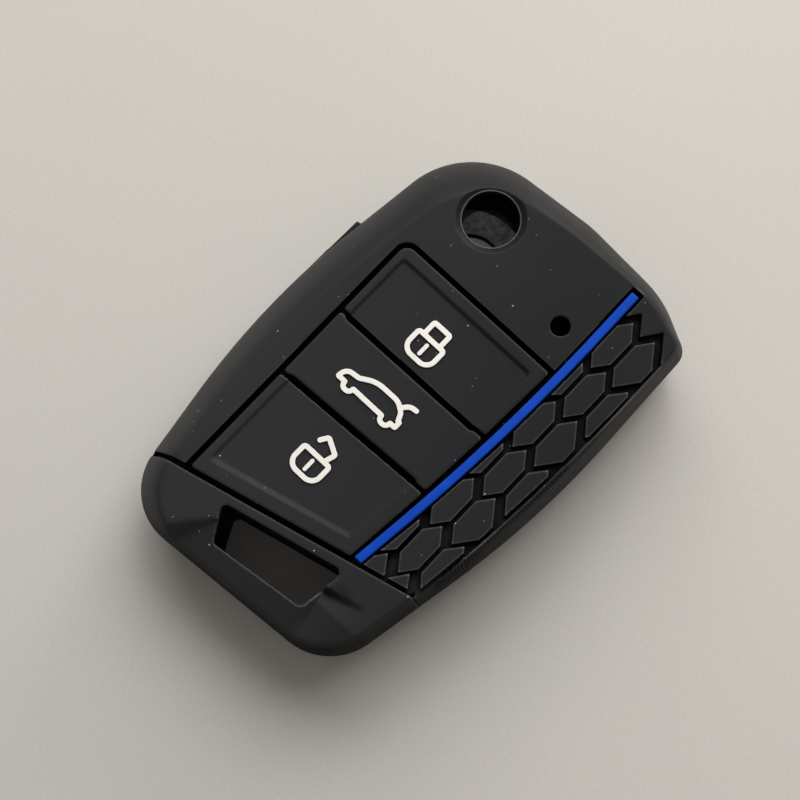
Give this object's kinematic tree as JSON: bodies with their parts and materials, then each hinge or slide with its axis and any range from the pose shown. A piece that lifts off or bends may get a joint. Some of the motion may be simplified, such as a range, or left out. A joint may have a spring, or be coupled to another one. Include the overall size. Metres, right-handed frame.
{
  "type": "key fob cover",
  "caption": "Soft black silicone cover for a folding vehicle key, with press pads over the key's buttons, a hexagon grip, a blue stripe and a slanted keyring slot.",
  "frame": {"origin": "on the resting back face, below the middle of the cover's outline", "axes": "+Z out of the front with the press pads, +Y towards the end with the release button hole, +X towards the side with the hexagon grip"},
  "size_m": [0.0508, 0.0778, 0.0174],
  "materials": {
    "black_silicone": "matte",
    "white_inlay": "satin",
    "blue_inlay": "satin"
  },
  "bodies": {
    "sleeve": {"front_shell": "black_silicone", "end_cap": "black_silicone", "rear_shell": "black_silicone", "accent_stripe": "blue_inlay", "grip_tiles": "black_silicone", "button_web": "black_silicone"},
    "lock_key": {"lock_button": "black_silicone", "lock_icon": "white_inlay"},
    "boot_key": {"boot_button": "black_silicone", "boot_icon": "white_inlay"},
    "unlock_key": {"unlock_button": "black_silicone", "unlock_icon": "white_inlay"}
  },
  "joints": [
    {"name": "lock_press", "type": "slide", "parent": "sleeve", "child": "lock_key", "axis": [0, 0, -1], "range_m": [0, 0.0008], "stiffness_N_per_m": 3000, "deforming": ["button_web"]},
    {"name": "boot_press", "type": "slide", "parent": "sleeve", "child": "boot_key", "axis": [0, 0, -1], "range_m": [0, 0.0008], "stiffness_N_per_m": 3000, "deforming": ["button_web"]},
    {"name": "unlock_press", "type": "slide", "parent": "sleeve", "child": "unlock_key", "axis": [0, 0, -1], "range_m": [0, 0.0008], "stiffness_N_per_m": 3000, "deforming": ["button_web"]}
  ]
}
